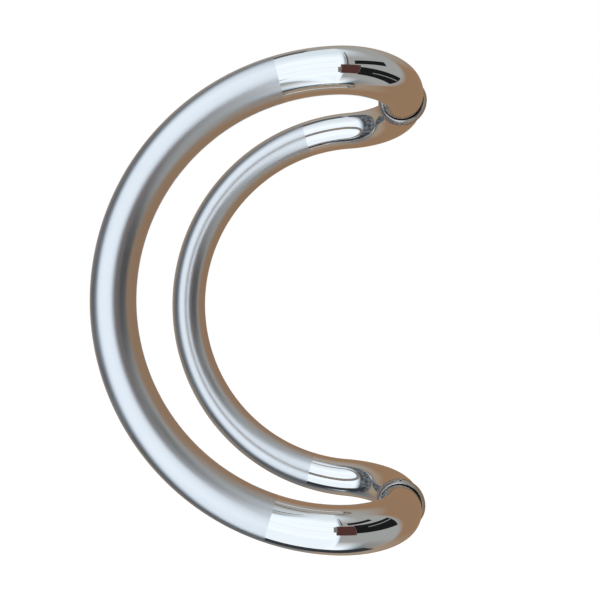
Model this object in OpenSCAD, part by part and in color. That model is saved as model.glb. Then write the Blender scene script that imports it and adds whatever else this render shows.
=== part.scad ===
// Back-to-back pair of half-moon tube pull handles for a glass door.
// +Z is up, +Y points from the front handle to the rear one, and each grip bows out towards -X.
// The origin is midway between the two fixings, in the mid-plane of the joint.
// The front handle plugs onto two spigots and is locked by grub screws. The rear handle is
// screwed onto two studs, which pull the flanges and gaskets together.

/* [Handle] */
// Distance between the two fixings, which is also the diameter of the half-moon's centreline
fixing_centres = 300; // [200:5:450]
// Outer diameter of the tube
tube_d = 30; // [25:1:38]
// Wall of the tube
tube_wall = 1.5; // [1:0.1:2.5]
// Radius of the elbow's centreline
bend_r = 48; // [36:1:70]
// Straight stretch of tube at each mouth
leg_straight = 4; // [2:0.5:30]
// Sine of the half-moon's lean away from the glass. 0.07584, about 4.35 degrees, has an exact cosine too
lean_sine = 0.07584; // [0:0.00001:0.25]

/* [Flanges] */
// How far the flange discs stand out past the tube
flange_overhang = 3; // [1:0.5:8]
// Thickness of each flange disc
flange_t = 3; // [2:0.5:8]
// Chamfer on the flange rims
flange_chamfer = 0.5; // [0.2:0.1:0.8]
// How far the gaskets' rims stay inside the flanges' rims
gasket_set_in = 1; // [0:0.5:4]
// Thickness of each gasket
gasket_t = 0.5; // [0.5:0.1:2]
// Shadow gap between the front tube's mouth and its flange
shadow_gap = 1; // [0.5:0.1:2]
// Width of the notch in the rim of the spigot's flange
notch_w = 1.2; // [0.8:0.1:3]
// Depth of that notch
notch_depth = 1.2; // [0.5:0.1:2]

/* [Spigots and plugs] */
// Diameter of the spigot's boss
boss_d = 16; // [13:0.5:20]
// Length of the boss beyond its flange
boss_len = 12; // [10:0.5:16]
// Depth of the groove in the boss that the grub screw's point sits in
groove_depth = 1.2; // [0.8:0.1:1.5]
// How far the front plug's nose, in the shadow gap, stays inside the tube's bore
nose_set_in = 1; // [0.5:0.5:3]
// Wall of the front plug behind the end of the boss's bore
front_plug_wall = 1.9; // [1.5:0.1:6]
// Wall of the rear plug behind the end of its tapped hole
rear_plug_wall = 2.5; // [1.5:0.1:6]

/* [Fasteners] */
// Thread diameter of the stud
stud_d = 8; // [6:1:10]
// Length of the stud
stud_len = 25; // [22:1:30]
// Room past the stud's end in the tapped hole of the rear plug
tap_end_gap = 1.5; // [0.5:0.5:4]
// Thread diameter of the grub screw
grub_d = 5; // [4:0.5:6]
// Length of the grub screw
grub_len = 6; // [5:0.5:7]
// Distance from the tube's mouth to the grub screw's axis
grub_from_mouth = 4.5; // [4:0.5:7]
// Turn of the grub screw about the leg's axis, from -X towards the middle of the handle
grub_turn = 25; // [0:5:45]
// Width across the flats of the grub screw's hexagon socket
grub_key = 2.5; // [2:0.5:3]
// Depth of that socket
grub_key_depth = 2.5; // [1.5:0.5:3.5]

/* [Fits] */
// Radial gap between a thread and its tapped hole
thread_gap = 0.05; // [0.02:0.01:0.15]
// Radial gap between the boss and its bore, and between a plug and its tube
slip_gap = 0.1; // [0.05:0.01:0.2]
// Radial gap around the stud in the gaskets and the rear flange
stud_pass_gap = 0.3; // [0.2:0.1:1]
// Radial gap around the grub screw in the tube's wall
grub_pass_gap = 0.25; // [0.1:0.05:0.5]
// Gap between a plug's far end and the wall of the bent tube
bend_gap = 0.3; // [0.2:0.1:1]
// Gap between the grub screw's point and the bottom of its groove
point_gap = 0.15; // [0.1:0.05:0.3]

/* [Hidden] */
$fn = 96;
tube_r = tube_d / 2;
bore_r = tube_r - tube_wall;
flange_r = tube_r + flange_overhang;
gasket_r = flange_r - gasket_set_in;
nose_r = bore_r - nose_set_in;
boss_r = boss_d / 2;
stud_r = stud_d / 2;
grub_r = grub_d / 2;
cut = 1; // overrun of a cut past the face it opens

// Stations along +Y from the mid-plane. The front ones are measured the same way towards -Y.
flange_back = gasket_t;
flange_face = flange_back + flange_t;
front_mouth = flange_face + shadow_gap;
rear_mouth = flange_face;
grub_y = front_mouth + grub_from_mouth;

// The elbow stops short of a quarter turn by the lean.
elbow_turn = 90 - asin(lean_sine);

// Depths from the tube's mouth. Each plug ends a wall's thickness past the hole in it.
rear_tap_depth = stud_len / 2 - rear_mouth + tap_end_gap;
rear_plug_depth = rear_tap_depth + rear_plug_wall;
front_plug_depth = boss_len + slip_gap - shadow_gap + front_plug_wall;

// The grub screw's point stays this far from the joint's axis.
point_reach = boss_r - groove_depth + point_gap;
point_len = grub_r;

// Turns a shape built along +Z so that it runs along +Y from the given station.
module along_rear(station) {
    translate([0, station, 0]) rotate([-90, 0, 0]) children();
}

// The same towards -Y, for the front handle's side.
module along_front(station) {
    translate([0, -station, 0]) rotate([90, 0, 0]) children();
}

module at_top() {
    translate([0, 0, fixing_centres / 2]) children();
}

module at_bottom() {
    mirror([0, 0, 1]) at_top() children();
}

// The tube's section. Turning it moves only the point where its outline starts.
module ring_section(turn = 0) {
    rotate(turn) difference() {
        circle(r = tube_r);
        circle(r = bore_r);
    }
}

// The frame at the top where the elbow meets the half-moon: the bend's own centre, turned to that end.
module at_bend_end() {
    at_top() translate([-bend_r, leg_straight, 0]) rotate([0, 0, elbow_turn]) children();
}

// Turns a shape built along +Z so that it runs along the grub screw's way out, at the top.
module along_grub(station) {
    translate([0, station, 0]) rotate([0, -90 - grub_turn, 0]) children();
}

// A straight hole for the grub screw at the given station, from the joint's axis to past the tube.
module side_hole(station, r) {
    along_grub(station) cylinder(r = r, h = tube_r + cut);
}

// One leg and elbow at the top, with the mouth at y = 0. A quarter bend is trimmed where the lean begins.
// The grub screw's hole crosses the seam between the two, so it is cut in each before they join.
module leg_and_elbow(hole_r) {
    difference() {
        at_top() along_rear(0) linear_extrude(leg_straight) ring_section();
        if (hole_r > 0) at_top() side_hole(grub_from_mouth, hole_r);
    }
    difference() {
        at_top() translate([-bend_r, leg_straight, 0])
            rotate_extrude(angle = 90) translate([bend_r, 0]) ring_section();
        at_bend_end() translate([0, 0, -tube_d]) cube([2 * bend_r, 2 * bend_r, 2 * tube_d]);
        if (hole_r > 0) at_top() side_hole(grub_from_mouth, hole_r);
    }
}

// The grip. Its section starts on the bend's outer side, as the elbows' sections do.
module half_moon() {
    at_bend_end() translate([bend_r, 0, 0]) rotate([0, -90, 0])
        translate([-fixing_centres / 2, 0, 0])
            rotate_extrude(angle = 180) translate([fixing_centres / 2, 0]) ring_section(-90);
}

// The whole bent tube, with its mouths at y = 0, and with grub screw holes unless their radius is 0.
module bent_tube(hole_r = 0) {
    leg_and_elbow(hole_r);
    mirror([0, 0, 1]) leg_and_elbow(hole_r);
    half_moon();
}

module front_handle_tube() {
    color("gainsboro")
        translate([0, -front_mouth, 0]) mirror([0, 1, 0]) bent_tube(grub_r + grub_pass_gap);
}

module rear_handle_tube() {
    color("gainsboro") translate([0, rear_mouth, 0]) bent_tube();
}

// The part of a plug that sits in the tube, from the mouth at z = 0 inwards. Its full diameter stops
// where the bend starts, and the tail past that stays inside the bend's outer wall.
module plug_body(depth) {
    full = min(depth, leg_straight);
    cylinder(r = bore_r - slip_gap, h = full);
    if (depth > full) {
        tail_r = sqrt(pow(bend_r + bore_r, 2) - pow(depth - full, 2)) - bend_r - bend_gap;
        translate([0, 0, full]) cylinder(r = tail_r, h = depth - full);
    }
}

module front_plug() {
    color("silver") difference() {
        union() {
            along_front(front_mouth) plug_body(front_plug_depth);
            along_front(flange_face) cylinder(r = nose_r, h = shadow_gap);
        }
        along_front(flange_face - cut) cylinder(r = boss_r + slip_gap, h = boss_len + slip_gap + cut);
        side_hole(-grub_y, grub_r + thread_gap);
    }
}

module rear_plug() {
    color("silver") difference() {
        along_rear(rear_mouth) plug_body(rear_plug_depth);
        along_rear(rear_mouth - cut) cylinder(r = stud_r + thread_gap, h = rear_tap_depth + cut);
    }
}

// A flange disc with a chamfer on both rims, from z = 0 up.
module flange_disc() {
    rotate_extrude()
        polygon([[0, 0], [flange_r - flange_chamfer, 0], [flange_r, flange_chamfer],
                 [flange_r, flange_t - flange_chamfer], [flange_r - flange_chamfer, flange_t], [0, flange_t]]);
}

// The grooved boss, whose axis is +Z and whose foot is at z = 0.
module boss() {
    groove_z = shadow_gap + grub_from_mouth;
    rotate_extrude()
        polygon([[0, 0], [boss_r, 0],
                 [boss_r, groove_z - groove_depth], [boss_r - groove_depth, groove_z],
                 [boss_r, groove_z + groove_depth],
                 [boss_r, boss_len - flange_chamfer], [boss_r - flange_chamfer, boss_len], [0, boss_len]]);
}

module spigot() {
    color("lightgray") difference() {
        union() {
            along_front(flange_back) flange_disc();
            along_front(flange_face) boss();
        }
        along_front(flange_back - cut) cylinder(r = stud_r + thread_gap, h = flange_t + boss_len + 2 * cut);
        // The notch in the rim faces the middle of the handle.
        translate([-notch_w / 2, -flange_face - cut, -flange_r - cut])
            cube([notch_w, flange_t + 2 * cut, notch_depth + cut]);
    }
}

module rear_flange() {
    color("lightgray") along_rear(flange_back) difference() {
        flange_disc();
        translate([0, 0, -cut]) cylinder(r = stud_r + stud_pass_gap, h = flange_t + 2 * cut);
    }
}

// One gasket, from z = 0 up.
module gasket() {
    color("dimgray") difference() {
        cylinder(r = gasket_r, h = gasket_t);
        translate([0, 0, -cut]) cylinder(r = stud_r + stud_pass_gap, h = gasket_t + 2 * cut);
    }
}

module stud() {
    color("silver") along_rear(-stud_len / 2) rotate_extrude()
        polygon([[0, 0], [stud_r - flange_chamfer, 0], [stud_r, flange_chamfer],
                 [stud_r, stud_len - flange_chamfer], [stud_r - flange_chamfer, stud_len], [0, stud_len]]);
}

module grub_screw() {
    color("darkgray") along_grub(-grub_y) translate([0, 0, point_reach]) difference() {
        rotate_extrude()
            polygon([[0, 0], [point_len, point_len], [grub_r, grub_len], [0, grub_len]]);
        translate([0, 0, grub_len - grub_key_depth])
            cylinder(d = grub_key / cos(30), h = grub_key_depth + cut, $fn = 6);
    }
}

front_handle_tube();
rear_handle_tube();
at_top() front_plug();  // top_front_plug
at_bottom() front_plug();  // bottom_front_plug
at_top() spigot();  // top_spigot
at_bottom() spigot();  // bottom_spigot
at_top() grub_screw();  // top_grub_screw
at_bottom() grub_screw();  // bottom_grub_screw
at_top() along_front(0) gasket();  // top_front_gasket
at_bottom() along_front(0) gasket();  // bottom_front_gasket
at_top() along_rear(0) gasket();  // top_rear_gasket
at_bottom() along_rear(0) gasket();  // bottom_rear_gasket
at_top() rear_flange();  // top_rear_flange
at_bottom() rear_flange();  // bottom_rear_flange
at_top() rear_plug();  // top_rear_plug
at_bottom() rear_plug();  // bottom_rear_plug
at_top() stud();  // top_stud
at_bottom() stud();  // bottom_stud
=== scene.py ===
"""Looks of a back-to-back pair of half-moon tube handles for a glass door.

The tubes, flanges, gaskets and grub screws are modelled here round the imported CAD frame. The plugs and
studs, which sit inside, keep their CAD shape and get a finish. Run main() to build everything.
"""

import math

import bmesh
import bpy
from mathutils import Euler, Matrix, Vector


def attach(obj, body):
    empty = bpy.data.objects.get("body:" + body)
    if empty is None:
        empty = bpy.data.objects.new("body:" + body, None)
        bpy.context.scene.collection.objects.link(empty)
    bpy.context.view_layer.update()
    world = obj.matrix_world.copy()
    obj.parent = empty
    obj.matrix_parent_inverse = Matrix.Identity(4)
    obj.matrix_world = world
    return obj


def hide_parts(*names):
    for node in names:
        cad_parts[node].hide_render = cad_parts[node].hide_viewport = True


bl_info = {
    "name": "Glass door handle looks",
    "version": (1, 0, 0),
    "blender": (4, 5, 0),
    "location": "View3D > Sidebar > Door Handle",
    "description": "Tubes, joint pieces, finishes and studio of a back-to-back half-moon door handle",
    "category": "Object",
}

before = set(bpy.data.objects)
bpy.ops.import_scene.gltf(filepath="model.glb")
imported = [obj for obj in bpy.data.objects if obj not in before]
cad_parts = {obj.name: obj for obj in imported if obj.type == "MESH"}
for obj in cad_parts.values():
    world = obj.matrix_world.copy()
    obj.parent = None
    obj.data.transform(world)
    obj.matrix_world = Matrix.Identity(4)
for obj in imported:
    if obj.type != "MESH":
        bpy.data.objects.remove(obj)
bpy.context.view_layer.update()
MM = 0.001
EDGE = 0.35 * MM  # how far a turned edge is broken
CREASE = math.radians(28)  # sharper edges than this stay sharp
LATHE_MERGE = 1e-7  # points of a turned shape closer than this become one
CUT_MERGE = 2e-6  # the same after a cut
# Steps round a flange, a gasket and a screw.
RING_STEPS, GASKET_STEPS, SCREW_STEPS = 160, 128, 48
ENDS = {"top": 1, "bottom": -1}


# Settings


class HandleSizes(bpy.types.PropertyGroup):
    """Sizes of the bent tubes, which repeat the CAD's."""

    centres: bpy.props.FloatProperty(
        name="Fixing centres", description="Distance between the two fixings",
        default=0.3, min=0.2, max=0.45, unit="LENGTH")
    tube_radius: bpy.props.FloatProperty(
        name="Tube radius", description="Outer radius of the tube, a hair under the CAD's to stay in its box",
        default=0.01496, min=0.0125, max=0.019, unit="LENGTH")
    wall: bpy.props.FloatProperty(
        name="Wall", description="Wall of the tube",
        default=0.0015, min=0.001, max=0.0025, unit="LENGTH")
    bend_radius: bpy.props.FloatProperty(
        name="Elbow radius", description="Radius of the elbow's centreline",
        default=0.048, min=0.036, max=0.07, unit="LENGTH")
    leg: bpy.props.FloatProperty(
        name="Leg", description="Straight stretch of tube at each mouth",
        default=0.004, min=0.002, max=0.03, unit="LENGTH")
    lean_sine: bpy.props.FloatProperty(
        name="Lean", description="Sine of the half-moon's lean away from the glass",
        default=0.07584, min=0.0, max=0.25, precision=5)
    front_mouth: bpy.props.FloatProperty(
        name="Front mouth", description="Distance from the joint's mid-plane to the front tube's mouth",
        default=0.0045, unit="LENGTH")
    rear_mouth: bpy.props.FloatProperty(
        name="Rear mouth", description="Distance from the joint's mid-plane to the rear tube's mouth",
        default=0.0035, unit="LENGTH")
    front_polish: bpy.props.FloatVectorProperty(
        name="Front handle's polish",
        description="Length of mirror polish along the tube from the top and bottom mouths",
        size=2, default=(0.1142, 0.1156), min=0.02, max=0.2, unit="LENGTH")
    rear_polish: bpy.props.FloatVectorProperty(
        name="Rear handle's polish",
        description="Length of mirror polish along the tube from the top and bottom mouths",
        size=2, default=(0.1130, 0.1060), min=0.02, max=0.2, unit="LENGTH")


class JointSizes(bpy.types.PropertyGroup):
    """Sizes of the flanges, gaskets and grub screws. They repeat the CAD's, apart from cone, bevel and recess."""

    flange_radius: bpy.props.FloatProperty(
        name="Flange radius", description="Radius of the flange discs",
        default=0.018, unit="LENGTH")
    flange_thickness: bpy.props.FloatProperty(
        name="Flange thickness", description="Thickness of each flange disc",
        default=0.003, unit="LENGTH")
    cone_width: bpy.props.FloatProperty(
        name="Cone width", description="Width, along the radius, of the cone on each flange's tube side",
        default=0.00205, unit="LENGTH")
    cone_depth: bpy.props.FloatProperty(
        name="Cone depth", description="Depth, along the axis, of the same cone",
        default=0.0025, unit="LENGTH")
    bevel_width: bpy.props.FloatProperty(
        name="Bevel width", description="Width, along the radius, of the flatter bevel inside the cone",
        default=0.00035, unit="LENGTH")
    bevel_depth: bpy.props.FloatProperty(
        name="Bevel depth", description="Depth, along the axis, of the same bevel",
        default=0.0002, unit="LENGTH")
    # The recess is a real step in the spigot; its dark look is painted shade in the spigot's steel.
    recess_radius: bpy.props.FloatProperty(
        name="Recess radius",
        description="Inner radius of the dark recess between the spigot's cone and the tube's mouth",
        default=0.0146, unit="LENGTH")
    gasket_radius: bpy.props.FloatProperty(
        name="Gasket radius", description="Radius of the gaskets",
        default=0.017, unit="LENGTH")
    gasket_thickness: bpy.props.FloatProperty(
        name="Gasket thickness", description="Thickness of each gasket",
        default=0.0005, unit="LENGTH")
    boss_radius: bpy.props.FloatProperty(
        name="Boss radius", description="Radius of the spigot's boss",
        default=0.008, unit="LENGTH")
    boss_length: bpy.props.FloatProperty(
        name="Boss length", description="Length of the boss beyond its flange",
        default=0.012, unit="LENGTH")
    stud_bore: bpy.props.FloatProperty(
        name="Stud bore", description="Radius of the spigot's tapped bore",
        default=0.00405, unit="LENGTH")
    stud_pass: bpy.props.FloatProperty(
        name="Stud clearance hole", description="Radius of the hole in the gaskets and the rear flange",
        default=0.0043, unit="LENGTH")
    notch: bpy.props.FloatProperty(
        name="Notch", description="Width and depth of the notch in the spigot's rim",
        default=0.0012, unit="LENGTH")
    grub_from_mouth: bpy.props.FloatProperty(
        name="Grub screw station", description="Distance from the tube's mouth to the grub screw's axis",
        default=0.0045, unit="LENGTH")
    grub_turn: bpy.props.FloatProperty(
        name="Grub screw turn",
        description="Turn of the grub screw about the leg, from -X towards mid-height",
        default=math.radians(25), min=0, max=math.radians(45), unit="ROTATION")
    grub_radius: bpy.props.FloatProperty(
        name="Grub screw radius", description="Radius of the grub screw's thread",
        default=0.0025, unit="LENGTH")
    grub_point: bpy.props.FloatProperty(
        name="Grub screw point", description="Distance from the joint's axis to the grub screw's point",
        default=0.00695, unit="LENGTH")
    grub_length: bpy.props.FloatProperty(
        name="Grub screw length", description="Length of the grub screw",
        default=0.006, unit="LENGTH")
    grub_hole: bpy.props.FloatProperty(
        name="Grub screw hole", description="Radius of the hole in the tube's wall",
        default=0.00275, unit="LENGTH")


class FinishSettings(bpy.types.PropertyGroup):
    """Colours of the steels and the gaskets, and the roughness of the two handle finishes."""

    satin: bpy.props.FloatVectorProperty(
        name="Satin steel", description="Colour of the satin grip",
        subtype="COLOR", default=(0.76, 0.80, 0.845), min=0, max=1)
    polished: bpy.props.FloatVectorProperty(
        name="Polished steel", description="Colour of the mirror-polished ends",
        subtype="COLOR", default=(0.86, 0.885, 0.90), min=0, max=1)
    flange: bpy.props.FloatVectorProperty(
        name="Flange steel", description="Colour of the turned and polished flanges",
        subtype="COLOR", default=(0.66, 0.66, 0.66), min=0, max=1)
    screw: bpy.props.FloatVectorProperty(
        name="Screw steel", description="Colour of the grub screws and studs",
        subtype="COLOR", default=(0.62, 0.62, 0.63), min=0, max=1)
    turned: bpy.props.FloatVectorProperty(
        name="Turned steel", description="Colour of the plugs",
        subtype="COLOR", default=(0.55, 0.55, 0.56), min=0, max=1)
    gasket: bpy.props.FloatVectorProperty(
        name="Gasket", description="Colour of the gaskets",
        subtype="COLOR", default=(0.028, 0.028, 0.03), min=0, max=1)
    satin_roughness: bpy.props.FloatProperty(
        name="Satin roughness", description="Roughness of the satin grip", default=0.30, min=0, max=1)
    polished_roughness: bpy.props.FloatProperty(
        name="Polish roughness", description="Roughness of the polished ends", default=0.035, min=0, max=1)


class StudioSettings(bpy.types.PropertyGroup):
    """Camera, floor and surround."""

    camera_place: bpy.props.FloatVectorProperty(
        name="Camera place", description="Where the camera stands",
        subtype="TRANSLATION", unit="LENGTH", default=(-0.008569, -0.392917, -0.014308))
    camera_turn: bpy.props.FloatVectorProperty(
        name="Camera turn", description="The camera's turn about X, Y and Z",
        subtype="EULER", default=tuple(math.radians(a) for a in (91.997, -0.68238, 9.814955)))
    lens: bpy.props.FloatProperty(
        name="Lens", description="Focal length on a 36 mm sensor", default=31.03877, unit="CAMERA")
    floor_height: bpy.props.FloatProperty(
        name="Floor height", description="Height of the floor under the joint's centre",
        default=-0.46, unit="LENGTH")
    surround_radius: bpy.props.FloatProperty(
        name="Surround radius", description="Radius of the painted drum that the steel reflects",
        default=1.0, unit="LENGTH")


def settings(group):
    return getattr(bpy.context.scene, group)


# Shader maths


class Value:
    """An output of a node. An expression on it adds Math nodes to its tree."""

    def __init__(self, tree, socket):
        self.tree = tree
        self.socket = socket

    def math(self, operation, *operands):
        return self.tree.node("ShaderNodeMath", dict(enumerate(operands)), operation=operation)

    def __add__(self, other):
        return self.math("ADD", self, other)

    def __radd__(self, other):
        return self.math("ADD", other, self)

    def __sub__(self, other):
        return self.math("SUBTRACT", self, other)

    def __rsub__(self, other):
        return self.math("SUBTRACT", other, self)

    def __mul__(self, other):
        return self.math("MULTIPLY", self, other)

    def __truediv__(self, other):
        return self.math("DIVIDE", self, other)

    def __pow__(self, other):
        return self.math("POWER", self, other)

    def __abs__(self):
        return self.math("ABSOLUTE", self)

    def limited(self):
        return self.tree.node("ShaderNodeClamp", {"Value": self})

    def above(self, edge, width):
        """0 below the edge and 1 above it, over the given width."""
        return ((self - edge) / width + 0.5).limited()


class Tree:
    """The nodes of a material or a world."""

    def __init__(self, owner):
        owner.use_nodes = True
        self.owner = owner
        self.nodes = owner.node_tree.nodes
        self.links = owner.node_tree.links
        self.nodes.clear()

    def node(self, kind, values=None, out=0, **sets):
        """Adds a node, gives it its settings first and then its sockets' values or links."""
        made = self.nodes.new(kind)
        stops = sets.pop("stops", None)
        for name, value in sets.items():
            setattr(made, name, value)
        if stops:
            ramp = made.color_ramp
            while len(ramp.elements) < len(stops):
                ramp.elements.new(0.5)
            for element, (place, _) in zip(ramp.elements, stops):
                element.position = place
            for element, (_, colour) in zip(ramp.elements, stops):
                element.color = (*colour, 1)
        for name, value in (values or {}).items():
            socket = made.inputs[name]
            if isinstance(value, Value):
                self.links.new(value.socket, socket)
            elif socket.type == "RGBA" and len(value) == 3:
                socket.default_value = (*value, 1)
            else:
                socket.default_value = value
        return Value(self, made.outputs[out]) if made.outputs else made

    def parts(self, vector):
        """The three numbers of a vector."""
        split = self.node("ShaderNodeSeparateXYZ", {0: vector}).socket.node
        return [Value(self, s) for s in split.outputs]

    def vector(self, *numbers):
        return self.node("ShaderNodeCombineXYZ", dict(enumerate(numbers)))

    def scaled(self, vector, factors):
        return self.node("ShaderNodeVectorMath", {0: vector, 1: factors}, operation="MULTIPLY")

    def noise(self, vector, detail=2.0, roughness=0.5):
        return self.node("ShaderNodeTexNoise",
                         {"Vector": vector, "Scale": 1.0, "Detail": detail, "Roughness": roughness})

    def blend(self, factor, low, high):
        """A colour between two others."""
        return self.node("ShaderNodeMix", {0: factor, 6: low, 7: high}, out=2, data_type="RGBA")

    def between(self, factor, low, high):
        """A number between two others."""
        return self.node("ShaderNodeMix", {0: factor, 2: low, 3: high}, data_type="FLOAT")

    def bump(self, height, distance):
        return self.node("ShaderNodeBump", {"Height": height, "Distance": distance, "Strength": 1.0})

    def surface(self, **values):
        """The Principled shader, wired to the output."""
        shader = self.node("ShaderNodeBsdfPrincipled", {k.replace("_", " "): v for k, v in values.items()})
        self.node("ShaderNodeOutputMaterial", {"Surface": shader})
        return self.owner


def painted(name):
    return Tree(bpy.data.materials.new(name))


# Finishes


def shades(colour, low, high):
    """A darker and a lighter shade of a colour."""
    return tuple(low * c for c in colour), tuple(min(1, high * c) for c in colour)


def handle_steel(name, top_polish, bottom_polish):
    """Satin grip with mirror-polished ends, by place along the tube."""
    sizes, look = settings("handle_sizes"), settings("handle_finish")
    tree = painted(name)
    place = tree.node("ShaderNodeAttribute", out="Vector", attribute_name="tube_place")
    _, _, along = tree.parts(place)
    seam = 0.4 * MM
    satin = along.above(top_polish, seam) * (1 - along.above(tube_length(sizes) - bottom_polish, seam))
    polish = 1 - satin

    # Brushing runs round the tube: short along it, long round it.
    grain = tree.noise(tree.scaled(place, (90, 90, 5200)), 3.0, 0.6)
    cloud = tree.noise(tree.scaled(place, (28, 28, 16)), 3.0, 0.55)
    smear = tree.noise(tree.scaled(place, (70, 70, 38)), 4.0, 0.6)

    satin_colour = tree.blend(grain, *shades(look.satin, 0.985, 1.015))
    satin_rough = look.satin_roughness + (grain - 0.5) * 0.02 + (cloud - 0.5) * 0.02
    polish_rough = look.polished_roughness + (smear - 0.52).limited() * 0.10
    ripple = tree.noise(tree.scaled(place, (95, 95, 60)), 1.0, 0.4)
    height = satin * grain * 0.00006 + polish * ripple * 0.006
    return tree.surface(
        Base_Color=tree.blend(polish, satin_colour, tuple(look.polished)),
        Metallic=1.0,
        Roughness=tree.between(polish, satin_rough, polish_rough),
        Normal=tree.bump(height, MM),
    )


# Painted shade: the dark colour painted on the steel for the shadow between flange and tube, how soft the painted
# shadow's edge is, and how far its middle lies to the outer side (+X) and towards mid-height, as if the grub screw
# pulled the tube to the other side.
PAINTED_SHADE_STEEL = (0.05, 0.045, 0.042)
PAINTED_SHADE_EDGE = 0.1 * MM
PAINTED_SHADE_OUT = 0.4 * MM
PAINTED_SHADE_IN = 0.2 * MM


def turned_steel(name, colour, roughness, ring_depth, painted_shade_within=0.0):
    """Steel turned on a lathe about the joint's axis, with fine rings on its faces and a round painted shadow."""
    tree = painted(name)
    place = tree.node("ShaderNodeTexCoord", out="Object")
    x, y, z = tree.parts(place)
    rise = abs(z) - settings("handle_sizes").centres / 2
    radius = (x * x + rise * rise) ** 0.5
    rings = tree.noise(tree.vector(radius * 5200, y * 5200, 0.0), 2.0, 0.5)
    cloud = tree.noise(tree.scaled(place, (160, 160, 160)), 3.0, 0.5)
    aside, outwards = x - PAINTED_SHADE_OUT, rise + PAINTED_SHADE_IN
    from_painted_shade = (aside * aside + outwards * outwards) ** 0.5
    bright = tree.blend(rings, *shades(colour, 0.92, 1.05))
    return tree.surface(
        # Painted shadow: inside the given radius round the shifted middle, the base colour turns to the painted
        # dark steel.
        Base_Color=tree.blend(from_painted_shade.above(painted_shade_within, PAINTED_SHADE_EDGE), PAINTED_SHADE_STEEL, bright),
        Metallic=1.0,
        Roughness=roughness + (rings - 0.5) * 0.08 + (cloud - 0.5) * 0.06,
        Normal=tree.bump(rings, ring_depth),
    )


def gasket_rubber():
    """Matt black rubber with a fine moulded grain."""
    colour = settings("handle_finish").gasket
    tree = painted("gasket_rubber")
    place = tree.node("ShaderNodeTexCoord", out="Object")
    grain = tree.noise(tree.scaled(place, (2600, 2600, 2600)), 3.0, 0.6)
    return tree.surface(
        Base_Color=tree.blend(grain, *shades(colour, 0.7, 1.4)),
        Roughness=0.62 + grain * 0.2,
        Normal=tree.bump(grain, 0.03 * MM),
    )


def screw_steel():
    """Plain rolled steel, a little dull, with drawn marks."""
    colour = settings("handle_finish").screw
    tree = painted("screw_steel")
    place = tree.node("ShaderNodeTexCoord", out="Object")
    marks = tree.noise(tree.scaled(place, (1800, 1800, 1800)), 4.0, 0.6)
    return tree.surface(
        Base_Color=tree.blend(marks, *shades(colour, 0.8, 1.1)),
        Metallic=1.0,
        Roughness=0.22 + marks * 0.16,
        Normal=tree.bump(marks, 0.01 * MM),
    )


# Mesh tools


def to_object(bm, name, material, replaced):
    """Makes a finished piece of a bmesh: smooth with sharp corners, in place of its CAD node."""
    bmesh.ops.recalc_face_normals(bm, faces=bm.faces[:])
    mesh = bpy.data.meshes.new(name)
    bm.to_mesh(mesh)
    bm.free()
    piece = bpy.data.objects.new(name, mesh)
    bpy.context.scene.collection.objects.link(piece)
    mesh.materials.append(material)
    mesh.shade_smooth()
    mesh.set_sharp_from_angle(angle=CREASE)
    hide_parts(replaced)
    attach(piece, "root")
    return piece


def lathe(profile, steps, about=None, closed=True):
    """A turned shape. The profile is (radius, height) pairs, spun about +Z and then moved by a matrix."""
    bm = bmesh.new()
    verts = [bm.verts.new((r, 0, z)) for r, z in profile]
    edges = [bm.edges.new(pair) for pair in zip(verts, verts[1:])]
    if closed:
        edges.append(bm.edges.new((verts[-1], verts[0])))
    bmesh.ops.spin(bm, geom=verts + edges, cent=(0, 0, 0), axis=(0, 0, 1), angle=math.tau,
                   steps=steps, use_merge=True)
    bmesh.ops.remove_doubles(bm, verts=bm.verts[:], dist=LATHE_MERGE)
    if about is not None:
        bmesh.ops.transform(bm, matrix=about, verts=bm.verts[:])
    bmesh.ops.recalc_face_normals(bm, faces=bm.faces[:])
    return bm


def cut(piece_mesh, cutters):
    """The mesh with the cutters' shapes taken out of it. The cutters are used up."""
    body = bpy.data.objects.new("body", piece_mesh)
    bpy.context.scene.collection.objects.link(body)
    tools = []
    for bm in cutters:
        mesh = bpy.data.meshes.new("cutter")
        bm.to_mesh(mesh)
        bm.free()
        tool = bpy.data.objects.new("cutter", mesh)
        bpy.context.scene.collection.objects.link(tool)
        tools.append(tool)
        step = body.modifiers.new("cut", "BOOLEAN")
        step.operation, step.solver, step.object = "DIFFERENCE", "EXACT", tool
    bpy.context.view_layer.update()
    graph = bpy.context.evaluated_depsgraph_get()
    result = bpy.data.meshes.new_from_object(body.evaluated_get(graph))
    for used in (body, *tools):
        mesh = used.data
        bpy.data.objects.remove(used)
        if mesh != result:
            bpy.data.meshes.remove(mesh)
    bm = bmesh.new()
    bm.from_mesh(result)
    bpy.data.meshes.remove(result)
    bmesh.ops.remove_doubles(bm, verts=bm.verts[:], dist=CUT_MERGE)
    return bm


def as_mesh(bm):
    mesh = bpy.data.meshes.new("body")
    bm.to_mesh(mesh)
    bm.free()
    return mesh


def at_end(sign, about=None):
    """The matrix that puts a joint piece, built round the origin, at the top or the bottom fixing."""
    place = Matrix.Translation((0, 0, sign * settings("handle_sizes").centres / 2))
    flip = Matrix.Scale(sign, 4, (0, 0, 1))
    return place @ flip @ (about or Matrix())


FORWARD = Matrix.Rotation(math.radians(90), 4, "X")   # +Z to -Y, the front handle's side
BACKWARD = Matrix.Rotation(math.radians(-90), 4, "X")  # +Z to +Y


def grub_way(joint):
    """Turns +Z to the grub screw's way out, at the top end."""
    return Matrix.Rotation(-math.pi / 2 - joint.grub_turn, 4, "Y")


# Bent tubes


def elbow_turn(sizes):
    return math.pi / 2 - math.asin(sizes.lean_sine)


def tube_length(sizes):
    return 2 * (sizes.leg + sizes.bend_radius * elbow_turn(sizes)) + math.pi * sizes.centres / 2


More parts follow.
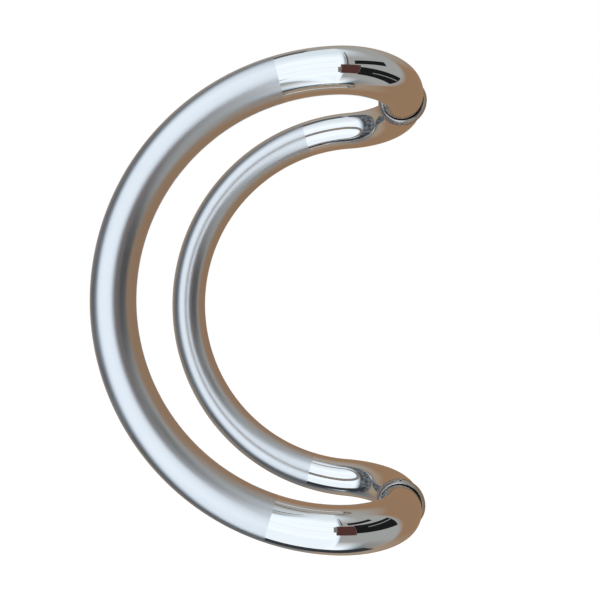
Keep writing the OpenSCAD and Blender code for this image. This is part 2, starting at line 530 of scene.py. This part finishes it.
def straighten(point, sizes):
    """Where a point lies on the straight tube: across, outwards and along. Also its centreline point."""
    half = sizes.centres / 2
    sine = sizes.lean_sine
    cosine = math.sqrt(1 - sine * sine)
    bend, leg, turn = sizes.bend_radius, sizes.leg, elbow_turn(sizes)
    away, normal = Vector((-cosine, sine, 0)), Vector((sine, cosine, 0))
    end = Vector((-bend + bend * sine, leg + bend * cosine, 0))
    past = (point - end).dot(away)
    if past > 0 and point.y > leg:
        angle = math.atan2(past, point.z)
        centre = end + half * (away * math.sin(angle) + Vector((0, 0, math.cos(angle))))
        along = leg + bend * turn + half * angle
        return (point - end).dot(normal), math.hypot(past, point.z) - half, along, centre
    side = 1 if point.z > 0 else -1
    if point.y > leg:
        angle = math.atan2(point.y - leg, point.x + bend)
        centre = Vector((-bend + bend * math.cos(angle), leg + bend * math.sin(angle), side * half))
        across = math.hypot(point.y - leg, point.x + bend) - bend
        along = leg + bend * angle
    else:
        centre = Vector((0, point.y, side * half))
        across, along = point.x, point.y
    if side < 0:
        along = tube_length(sizes) - along
    return across, abs(point.z) - half, along, centre


def moved_ring(bm, edges, step, scale=1.0):
    """Extrudes a loop of edges along +Y, and scales it about its own middle. Returns the new loop."""
    grown = bmesh.ops.extrude_edge_only(bm, edges=edges)["geom"]
    verts = [g for g in grown if isinstance(g, bmesh.types.BMVert)]
    kept = set(verts)
    middle = sum((v.co for v in verts), Vector()) / len(verts)
    for v in verts:
        v.co = middle + (v.co - middle) * scale + Vector((0, step, 0))
    return [g for g in grown if isinstance(g, bmesh.types.BMEdge) and set(g.verts) <= kept]


def bent_tube(sizes):
    """The whole tube with its wall, mouths at y = 0, swept from the top mouth to the bottom one."""
    segments = 96
    softening = 0.3 * MM
    radius, bore, bend, leg = sizes.tube_radius, sizes.tube_radius - sizes.wall, sizes.bend_radius, sizes.leg
    rim = radius - softening
    half = sizes.centres / 2
    turn = elbow_turn(sizes)
    sine = sizes.lean_sine
    cosine = math.sqrt(1 - sine * sine)
    bm = bmesh.new()
    flat = Matrix.Translation((0, 0, half)) @ BACKWARD
    loops = []
    for size in (rim, bore):
        ring = bmesh.ops.create_circle(bm, segments=segments, radius=size, matrix=flat)["verts"]
        loops.append(list({e for v in ring for e in v.link_edges}))
    bmesh.ops.bridge_loops(bm, edges=loops[0] + loops[1])
    rows = [softening] + [(leg - softening) / 3] * 3
    for index, row in enumerate(rows):
        loops = [moved_ring(bm, loops[0], row, radius / rim if index == 0 else 1.0),
                 moved_ring(bm, loops[1], row)]
    edges = loops[0] + loops[1]
    sweeps = (
        ((-bend, leg, half), (0, 0, 1), turn, 40),
        ((-bend + bend * sine, leg + bend * cosine, 0), (-sine, -cosine, 0), math.pi, 200),
        ((-bend, leg, -half), (0, 0, 1), -turn, 40),
    )
    for centre, axis, angle, steps in sweeps:
        last = bmesh.ops.spin(bm, geom=edges, cent=centre, axis=axis, angle=angle, steps=steps,
                              use_merge=False, use_duplicate=False)["geom_last"]
        edges = [g for g in last if isinstance(g, bmesh.types.BMEdge)]
    centre = Vector((0, leg, -half))
    outer = [e for e in edges if (e.verts[0].co - centre).length > (radius + bore) / 2]
    inner = [e for e in edges if e not in set(outer)]
    for index, row in enumerate(reversed(rows)):
        last = index == len(rows) - 1
        outer = moved_ring(bm, outer, -row, rim / radius if last else 1.0)
        inner = moved_ring(bm, inner, -row)
    bmesh.ops.bridge_loops(bm, edges=outer + inner)
    bmesh.ops.recalc_face_normals(bm, faces=bm.faces[:])
    return bm


def grub_hole_cutter(sizes, joint, sign):
    """A drill for the grub screw's hole in the tube's own frame, with a small countersink at the surface."""
    hole, reach = joint.grub_hole, sizes.tube_radius
    start, foot, flare = 0.3 * reach, reach - 0.45 * MM, 1.4 * MM
    profile = [(0, start), (hole, start), (hole, foot), (hole + flare, foot + flare), (0, foot + flare)]
    about = at_end(sign, Matrix.Translation((0, joint.grub_from_mouth, 0)) @ grub_way(joint))
    return lathe(profile, SCREW_STEPS, about, closed=False)


def tube_object(name, bm, to_place, sizes, material):
    """Finishes a tube: place attribute, exact normals on both skins, and the piece's own frame."""
    radius, bore = sizes.tube_radius, sizes.tube_radius - sizes.wall
    near = 0.02 * MM
    # A cut leaves faces with many corners, which shade evenly once they are triangles.
    bmesh.ops.triangulate(bm, faces=[f for f in bm.faces if len(f.verts) > 4])
    bmesh.ops.recalc_face_normals(bm, faces=bm.faces[:])
    bm.verts.ensure_lookup_table()
    spots = [straighten(v.co, sizes) for v in bm.verts]
    outwards = [(v.co - spot[3]).normalized() for v, spot in zip(bm.verts, spots)]
    distance = [(v.co - spot[3]).length for v, spot in zip(bm.verts, spots)]
    skins = []
    for face in bm.faces:
        reach = [distance[v.index] for v in face.verts]
        facing = face.normal.dot(outwards[face.verts[0].index])
        if max(abs(r - radius) for r in reach) < near and facing > 0.5:
            skins.append(1)
        elif max(abs(r - bore) for r in reach) < near and facing < -0.5:
            skins.append(-1)
        else:
            skins.append(0)
    bmesh.ops.transform(bm, matrix=to_place, verts=bm.verts[:])
    if to_place.determinant() < 0:
        bmesh.ops.reverse_faces(bm, faces=bm.faces[:])
    turned = [(to_place.to_3x3() @ n).normalized() for n in outwards]
    mesh = bpy.data.meshes.new(name)
    bm.normal_update()
    flat_normals = [face.normal.copy() for face in bm.faces]
    bm.to_mesh(mesh)
    bm.free()
    mesh.shade_smooth()
    normals = [None] * len(mesh.loops)
    for face in mesh.polygons:
        skin = skins[face.index]
        for loop in face.loop_indices:
            vertex = mesh.loops[loop].vertex_index
            normals[loop] = skin * turned[vertex] if skin else flat_normals[face.index]
    mesh.normals_split_custom_set(normals)
    place = mesh.attributes.new("tube_place", "FLOAT_VECTOR", "POINT")
    for item, spot in zip(place.data, spots):
        item.vector = spot[:3]
    piece = bpy.data.objects.new(name, mesh)
    bpy.context.scene.collection.objects.link(piece)
    mesh.materials.append(material)
    return piece


class HANDLE_OT_tubes(bpy.types.Operator):
    """Builds the front and rear bent tubes"""

    bl_idname = "handle.tubes"
    bl_label = "Bent tubes"

    def execute(self, context):
        sizes, joint = settings("handle_sizes"), settings("handle_joint")
        front = cut(as_mesh(bent_tube(sizes)), [grub_hole_cutter(sizes, joint, s) for s in ENDS.values()])
        frontwards = Matrix.Translation((0, -sizes.front_mouth, 0)) @ Matrix.Scale(-1, 4, (0, 1, 0))
        rearwards = Matrix.Translation((0, sizes.rear_mouth, 0))
        front_steel = handle_steel("front_handle_steel", *sizes.front_polish)
        rear_steel = handle_steel("rear_handle_steel", *sizes.rear_polish)
        for name, bm, to_place, steel in (("front_tube", front, frontwards, front_steel),
                                          ("rear_tube", bent_tube(sizes), rearwards, rear_steel)):
            piece = tube_object(name, bm, to_place, sizes, steel)
            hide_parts(name.replace("_tube", "_handle_tube"))
            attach(piece, "root")
        return {"FINISHED"}


# Joint pieces


FLANGE_ROUGHNESS = 0.26
FLANGE_RINGS = 0.0002 * MM  # depth of the turning marks


def softened(corners):
    """A closed profile with each corner cut by two points, at the distance given with it."""
    out = []
    count = len(corners)
    for index, (r, z, cut_back) in enumerate(corners):
        here = Vector((r, z))
        if not cut_back:
            out.append((r, z))
            continue
        for other in (corners[index - 1], corners[(index + 1) % count]):
            out.append(tuple(here + cut_back * (Vector(other[:2]) - here).normalized()))
    return out


def bevel_top(joint):
    """The radius at which a flange's bevel meets its face."""
    return joint.flange_radius - joint.cone_width - joint.bevel_width


def flange_edge(joint, face):
    """The corners of a flange's tube side: a steep cone, and a flatter bevel inside it."""
    bevel = face - joint.bevel_depth
    return (
        (joint.flange_radius, bevel - joint.cone_depth, EDGE / 6),
        (joint.flange_radius - joint.cone_width, bevel, EDGE / 3),
        (bevel_top(joint), face, EDGE / 6),
    )


# The last argument gives the radius of a painted shadow on the flange steel.
def flange_steel(name, painted_shade_within=0.0):
    return turned_steel(name, tuple(settings("handle_finish").flange), FLANGE_ROUGHNESS, FLANGE_RINGS, painted_shade_within)


class HANDLE_OT_spigots(bpy.types.Operator):
    """Builds the spigots: notched flange disc, grooved boss and tapped bore"""

    bl_idname = "handle.spigots"
    bl_label = "Spigots"

    def execute(self, context):
        sizes, joint = settings("handle_sizes"), settings("handle_joint")
        # The spigots' steel is painted dark as shade inside a circle just within the bevel, standing in for the
        # shadow in the slit at the tube's mouth.
        steel = flange_steel("flange_steel", bevel_top(joint) - 0.4 * MM)
        back = joint.gasket_thickness
        face = back + joint.flange_thickness
        recess_floor = face - 0.6 * MM
        groove = sizes.front_mouth + joint.grub_from_mouth
        groove_depth = 1.2 * MM
        tip = face + joint.boss_length
        profile = softened([
            (joint.stud_bore, back, 0), (joint.flange_radius, back, EDGE / 8),
            *flange_edge(joint, face), (bevel_top(joint), recess_floor, 0),
            (joint.recess_radius, recess_floor, 0), (joint.recess_radius, face, 0), (joint.boss_radius, face, 0),
            (joint.boss_radius, groove - groove_depth, 0), (joint.boss_radius - groove_depth, groove, 0),
            (joint.boss_radius, groove + groove_depth, 0), (joint.boss_radius, tip, EDGE),
            (joint.stud_bore, tip, 0),
        ])
        for end, sign in ENDS.items():
            disc = lathe(profile, RING_STEPS, FORWARD)
            notch = bmesh.new()
            bmesh.ops.create_cube(notch, size=1.0, matrix=Matrix.Translation(
                (0, -(back + face) / 2, -joint.flange_radius)) @ Matrix.Diagonal(
                    (joint.notch, 2 * joint.flange_thickness, 2 * joint.notch, 1)))
            bm = cut(as_mesh(disc), [notch])
            bmesh.ops.transform(bm, matrix=at_end(sign), verts=bm.verts[:])
            to_object(bm, f"{end}_spigot_piece", steel, f"{end}_spigot")
        return {"FINISHED"}


class HANDLE_OT_rear_flanges(bpy.types.Operator):
    """Builds the rear flange discs"""

    bl_idname = "handle.rear_flanges"
    bl_label = "Rear flanges"

    def execute(self, context):
        joint = settings("handle_joint")
        steel = flange_steel("rear_flange_steel")
        back = joint.gasket_thickness
        face = back + joint.flange_thickness
        profile = softened([
            (joint.stud_pass, back, EDGE), (joint.flange_radius, back, EDGE / 8),
            *flange_edge(joint, face), (joint.stud_pass, face, EDGE),
        ])
        for end, sign in ENDS.items():
            bm = lathe(profile, RING_STEPS, at_end(sign) @ BACKWARD)
            to_object(bm, f"{end}_rear_flange_piece", steel, f"{end}_rear_flange")
        return {"FINISHED"}


class HANDLE_OT_gaskets(bpy.types.Operator):
    """Builds the four gaskets"""

    bl_idname = "handle.gaskets"
    bl_label = "Gaskets"

    def execute(self, context):
        joint = settings("handle_joint")
        rubber = gasket_rubber()
        thickness = joint.gasket_thickness
        profile = softened([
            (joint.stud_pass, 0, EDGE / 3), (joint.gasket_radius, 0, EDGE / 3),
            (joint.gasket_radius, thickness, EDGE / 3), (joint.stud_pass, thickness, EDGE / 3),
        ])
        for end, sign in ENDS.items():
            for side, about in (("front", FORWARD), ("rear", BACKWARD)):
                bm = lathe(profile, GASKET_STEPS, at_end(sign) @ about)
                to_object(bm, f"{end}_{side}_gasket_piece", rubber, f"{end}_{side}_gasket")
        return {"FINISHED"}


class HANDLE_OT_grub_screws(bpy.types.Operator):
    """Builds the grub screws: cone point, threads and hexagon socket"""

    bl_idname = "handle.grub_screws"
    bl_label = "Grub screws"

    def execute(self, context):
        sizes, joint = settings("handle_sizes"), settings("handle_joint")
        steel = screw_steel()
        radius, length = joint.grub_radius, joint.grub_length
        pitch = 0.8 * MM
        root = radius - 0.45 * MM
        across = 2.5 * MM
        corner = across / 2 / math.cos(math.pi / 6)
        mouth_floor, mouth_top = length - 0.2 * MM, length + 0.4 * MM
        profile = [(0, 0), (root, root)]
        turns = int((length - root - 0.5 * MM) / pitch)
        start = root + 0.15 * MM
        for index in range(turns):
            base = start + index * pitch
            profile += [(root, base), (radius, base + 0.35 * pitch), (radius, base + 0.5 * pitch),
                        (root, base + 0.85 * pitch)]
        profile += [(radius - 0.35 * MM, length - 0.35 * MM), (radius - 0.6 * MM, length), (0, length)]
        station = sizes.front_mouth + joint.grub_from_mouth
        for end, sign in ENDS.items():
            screw = lathe(profile, SCREW_STEPS, closed=False)
            socket = bmesh.new()
            bmesh.ops.create_cone(socket, cap_ends=True, segments=6, radius1=corner, radius2=corner,
                                  depth=5 * MM, matrix=Matrix.Translation((0, 0, length)))
            mouth = lathe([(0, mouth_floor), (1.3 * MM, mouth_floor), (1.9 * MM, mouth_top), (0, mouth_top)],
                          SCREW_STEPS, closed=False)
            bm = cut(as_mesh(screw), [socket, mouth])
            about = at_end(sign, Matrix.Translation((0, -station, 0)) @ grub_way(joint)
                           @ Matrix.Translation((0, 0, joint.grub_point)))
            bmesh.ops.transform(bm, matrix=about, verts=bm.verts[:])
            to_object(bm, f"{end}_grub_screw_piece", steel, f"{end}_grub_screw")
        return {"FINISHED"}


class HANDLE_OT_inner_pieces(bpy.types.Operator):
    """Gives the plugs and studs inside the tubes their finishes"""

    bl_idname = "handle.inner_pieces"
    bl_label = "Plugs and studs"

    def execute(self, context):
        look = settings("handle_finish")
        turned = turned_steel("plug_steel", tuple(look.turned), 0.28, 0.008 * MM)
        stud = turned_steel("stud_steel", tuple(look.screw), 0.3, 0.02 * MM)
        for name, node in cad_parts.items():
            finish = turned if name.endswith("_plug") else stud if name.endswith("_stud") else None
            if finish:
                for slot in node.material_slots:
                    slot.material = finish
        return {"FINISHED"}


# Studio


# The steel gives back about seven eighths of the light, so the boards are that much brighter than it looks.
STEEL_LOSS = 1.15


# Paints of the room round the handle, as they look in steel.
PAINTS = {
    "window": (246, 251, 255), "window_edge": (225, 236, 245),
    "warm_wall": (146, 116, 90), "pale_wall": (155, 138, 120), "grey_wall": (156, 156, 153),
    "dark_wall": (88, 90, 92), "ceiling": (215, 222, 228), "warm_ceiling": (157, 150, 142),
    "dim_floor": (110, 114, 118),
    "maroon": (78, 50, 46), "black": (26, 26, 26), "dark_frame": (62, 62, 64), "grey_frame": (120, 114, 106),
    "light_frame": (140, 142, 142), "table": (50, 52, 56), "rail": (84, 86, 88),
}

# The room at eye level, overhead and below, by bearing in degrees from the camera's side towards +X.
EYE_LEVEL = (
    (-180, "warm_wall"), (-150, "warm_wall"), (-125, "pale_wall"), (-106, "pale_wall"), (-98, "dark_wall"),
    (-64, "dark_wall"), (-52, "window_edge"), (-45, "window"), (10, "window"), (14, "window_edge"),
    (15.5, "grey_wall"), (88, "grey_wall"), (97, "warm_wall"), (180, "warm_wall"),
)
OVERHEAD = (
    (-180, "warm_ceiling"), (-75, "warm_ceiling"), (-40, "ceiling"), (12, "ceiling"), (60, "grey_wall"),
    (180, "warm_ceiling"),
)
BELOW = (
    (-180, "pale_wall"), (-140, "dim_floor"), (-100, "dark_wall"), (-70, "dark_wall"), (-50, "window_edge"),
    (-40, "window"), (25, "window"), (32, "window_edge"), (50, "dim_floor"), (90, "pale_wall"),
    (180, "pale_wall"),
)

# Bearings from and to of the clutter before the dark wall and of the slats in the window.
CLUTTER = (-98, -64)
SLATS = (-46, 9)

DRUM_X = -0.08  # the surround's middle, behind the half-moons
DRUM_TOP = 0.9
TILT_EDGE = 0.80, 0.28  # sine at which eye level turns into overhead or below, and over what width

# Upright boards bent round the ends of the handles: radius, bearings from and to, heights from and to,
# rise along the way, and paint. BOARDS_MIDDLE is the x and y that they are bent round.
BOARDS_MIDDLE = (-0.025, -0.065)
BOARDS = {
    "window_post": (0.30, 14.2, 16.2, 0.10, 0.85, 0.0, "dark_frame"),
    "maroon_board": (0.44, 7, 33, -0.18, 0.17, 0.0, "maroon"),
    "grey_bar": (0.37, 3, 8, -0.09, 0.09, 0.0, "grey_frame"),
    "black_board": (0.34, 33, 93, -0.13, 0.12, 0.0, "black"),
    "light_strip": (0.32, 52, 92, 0.0, 0.016, 0.03, "light_frame"),
    "dark_strip": (0.40, 25, 70, 0.19, 0.32, 0.09, "black"),
}

# Level boards above and below: x from and to, y from and to, height, and paint.
RAILS = {
    "ceiling_rail": (-0.8, -0.17, -0.09, 0.12, 0.85, "rail"),
    "table_edge": (-0.6, 0.07, -0.10, -0.01, -0.357, "table"),
}


# The soft lamp, over the camera's left shoulder. It lights floor and gaskets, and no steel mirrors it.
LAMP_PLACE = Vector((-0.9, -0.9, 1.4))
LAMP_AIM = Vector((-0.1, 0, 0))
LAMP_SIZE = 0.9
LAMP_WATTS = 6.0

DAYLIGHT = 0.95  # strength of the world's light where it isn't seen directly
FLOOR_WHITE = (0.93, 0.93, 0.93)
FLOOR_GLOW = (0.13, 0.13, 0.13)  # lifts the floor to pure white, for the camera alone


def light(paint):
    """A paint as light."""
    return tuple(((c / 255 + 0.055) / 1.055) ** 2.4 for c in PAINTS[paint])


def bearing_ramp(tree, bearing, stops):
    return tree.node("ShaderNodeValToRGB", {0: bearing}, stops=[
        ((degrees + 180) / 360, light(paint)) for degrees, paint in stops])


def stretch(bearing, start, stop, softness=4):
    """1 between two bearings in degrees and 0 elsewhere."""
    width = softness / 360
    return bearing.above((start + 180) / 360, width) * (1 - bearing.above((stop + 180) / 360, width))


def glow(tree, colour):
    """A surface that only shines with its own colour."""
    return tree.surface(Base_Color=(0, 0, 0), Roughness=1.0, Specular_IOR_Level=0.0,
                        Emission_Color=colour, Emission_Strength=STEEL_LOSS)


def reflected_only(obj):
    """Seen in the steel, and by nothing else."""
    obj.visible_camera = obj.visible_diffuse = obj.visible_transmission = False
    obj.visible_volume_scatter = obj.visible_shadow = False
    for material in obj.data.materials:
        material.cycles.emission_sampling = "NONE"


def plain_object(bm, name, material):
    mesh = bpy.data.meshes.new(name)
    bm.to_mesh(mesh)
    bm.free()
    mesh.materials.append(material)
    made = bpy.data.objects.new(name, mesh)
    bpy.context.scene.collection.objects.link(made)
    return made


def standing_board(name, radius, start, stop, low, high, rise, paint):
    """An upright board bent round BOARDS_MIDDLE, between two bearings and two heights."""
    bm = bmesh.new()
    bearing = math.radians(start)
    middle_x, middle_y = BOARDS_MIDDLE
    foot = Vector((middle_x + radius * math.sin(bearing), middle_y - radius * math.cos(bearing), low))
    verts = [bm.verts.new(foot), bm.verts.new(foot + Vector((0, 0, high - low)))]
    edge = bm.edges.new(verts)
    steps = 24
    bmesh.ops.spin(bm, geom=verts + [edge], cent=(*BOARDS_MIDDLE, 0), axis=(0, 0, 1),
                   angle=math.radians(stop - start), steps=steps, dvec=(0, 0, rise / steps))
    reflected_only(plain_object(bm, name, glow(painted(name), light(paint))))


def level_board(name, left, right, near, far, height, paint):
    bm = bmesh.new()
    middle = Matrix.Translation(((left + right) / 2, (near + far) / 2, height))
    size = Matrix.Diagonal((right - left, far - near, 1, 1))
    bmesh.ops.create_grid(bm, x_segments=1, y_segments=1, size=0.5, matrix=middle @ size)
    reflected_only(plain_object(bm, name, glow(painted(name), light(paint))))


class HANDLE_OT_studio(bpy.types.Operator):
    """Builds the floor, the surround that the steel reflects, the lamp, the world and the camera"""

    bl_idname = "handle.studio"
    bl_label = "Studio"

    def execute(self, context):
        studio = settings("handle_studio")
        scene = context.scene
        self.camera(scene, studio)
        self.floor(studio)
        self.surround(studio)
        self.lamp()
        self.world(scene)
        scene.view_settings.view_transform = "Standard"
        return {"FINISHED"}

    def camera(self, scene, studio):
        data = bpy.data.cameras.new("camera")
        data.lens = studio.lens
        data.sensor_width = 36.0
        data.clip_start = 0.01
        camera = bpy.data.objects.new("camera", data)
        camera.location = studio.camera_place
        camera.rotation_euler = Euler(studio.camera_turn)
        scene.collection.objects.link(camera)
        scene.camera = camera

    def floor(self, studio):
        bm = bmesh.new()
        bmesh.ops.create_grid(bm, x_segments=8, y_segments=8, size=30.0,
                              matrix=Matrix.Translation((0, 0, studio.floor_height)))
        tree = painted("floor_paint")
        seen = tree.node("ShaderNodeLightPath", out="Is Camera Ray")
        floor = plain_object(bm, "floor", tree.surface(
            Base_Color=FLOOR_WHITE, Roughness=0.9, Specular_IOR_Level=0.2,
            Emission_Color=tree.blend(seen, (0, 0, 0), FLOOR_GLOW), Emission_Strength=1.0))

    def surround(self, studio):
        radius = studio.surround_radius
        low, high = studio.floor_height + 0.02, DRUM_TOP
        profile = [(0, low), (0.5 * radius, low), (radius, 0.5 * low), (radius, 0.5 * high), (0.5 * radius, high),
                   (0, high)]
        bm = lathe(profile, 96, Matrix.Translation((DRUM_X, 0, 0)), closed=False)
        tree = painted("surround_paint")
        place = tree.node("ShaderNodeTexCoord", out="Object")
        x, y, z = tree.parts(place)
        x = x - DRUM_X
        flat = (x * x + y * y) ** 0.5
        bearing = x.math("ARCTAN2", x, y * -1.0) / math.tau + 0.5
        tilt = z / (flat * flat + z * z) ** 0.5
        up = tilt.above(*TILT_EDGE)
        down = (tilt * -1.0).above(*TILT_EDGE)
        colour = tree.blend(up, bearing_ramp(tree, bearing, EYE_LEVEL), bearing_ramp(tree, bearing, OVERHEAD))
        colour = tree.blend(down, colour, bearing_ramp(tree, bearing, BELOW))
        # Clutter before the dark wall, and slats in the window.
        clutter = tree.noise(tree.scaled(place, (7, 7, 5)), 4.0, 0.6).above(0.5, 0.12)
        jumble = tree.blend(clutter, light("dark_frame"), light("dim_floor"))
        colour = tree.blend(stretch(bearing, *CLUTTER), colour, jumble)
        slats = tree.noise(tree.vector(bearing * 3, 0.0, z * 14), 2.0, 0.5).above(0.52, 0.12)
        colour = tree.blend(stretch(bearing, *SLATS) * slats * 0.3, colour, light("ceiling"))
        drum = plain_object(bm, "surround", glow(tree, colour))
        reflected_only(drum)
        for name, board in BOARDS.items():
            standing_board(name, *board)
        for name, board in RAILS.items():
            level_board(name, *board)

    def lamp(self):
        data = bpy.data.lights.new("soft_lamp", "AREA")
        data.shape, data.size, data.energy = "DISK", LAMP_SIZE, LAMP_WATTS
        lamp = bpy.data.objects.new("soft_lamp", data)
        lamp.location = LAMP_PLACE
        lamp.rotation_euler = (LAMP_AIM - lamp.location).to_track_quat("-Z", "Y").to_euler()
        lamp.visible_glossy = False
        bpy.context.scene.collection.objects.link(lamp)

    def world(self, scene):
        world = bpy.data.worlds.new("white_room")
        scene.world = world
        world.cycles.sampling_method = "NONE"
        tree = Tree(world)
        path = tree.node("ShaderNodeLightPath").socket.node
        seen = sum((Value(tree, path.outputs[ray]) for ray in ("Is Glossy Ray", "Is Transmission Ray")),
                   Value(tree, path.outputs["Is Camera Ray"])).limited()
        background = tree.node("ShaderNodeBackground", {
            "Color": (1, 1, 1), "Strength": tree.between(seen, DAYLIGHT, 1.0)})
        tree.node("ShaderNodeOutputWorld", {"Surface": background})


PIECES = (HANDLE_OT_tubes, HANDLE_OT_spigots, HANDLE_OT_rear_flanges, HANDLE_OT_gaskets,
          HANDLE_OT_grub_screws, HANDLE_OT_inner_pieces, HANDLE_OT_studio)
GROUPS = {"handle_sizes": HandleSizes, "handle_joint": JointSizes, "handle_finish": FinishSettings,
          "handle_studio": StudioSettings}


class HANDLE_PT_panel(bpy.types.Panel):
    """Lists the pieces of the door handle"""

    bl_idname = "HANDLE_PT_panel"
    bl_label = "Door Handle"
    bl_space_type = "VIEW_3D"
    bl_region_type = "UI"
    bl_category = "Door Handle"

    def draw(self, context):
        for piece in PIECES:
            self.layout.operator(piece.bl_idname)


def register():
    for cls in (*GROUPS.values(), *PIECES, HANDLE_PT_panel):
        bpy.utils.register_class(cls)
    for name, group in GROUPS.items():
        setattr(bpy.types.Scene, name, bpy.props.PointerProperty(type=group))


def unregister():
    for name in GROUPS:
        delattr(bpy.types.Scene, name)
    for cls in reversed((*GROUPS.values(), *PIECES, HANDLE_PT_panel)):
        bpy.utils.unregister_class(cls)


def main():
    register()
    for piece in PIECES:
        module, name = piece.bl_idname.split(".")
        getattr(getattr(bpy.ops, module), name)()


if __name__ == "__main__":
    main()
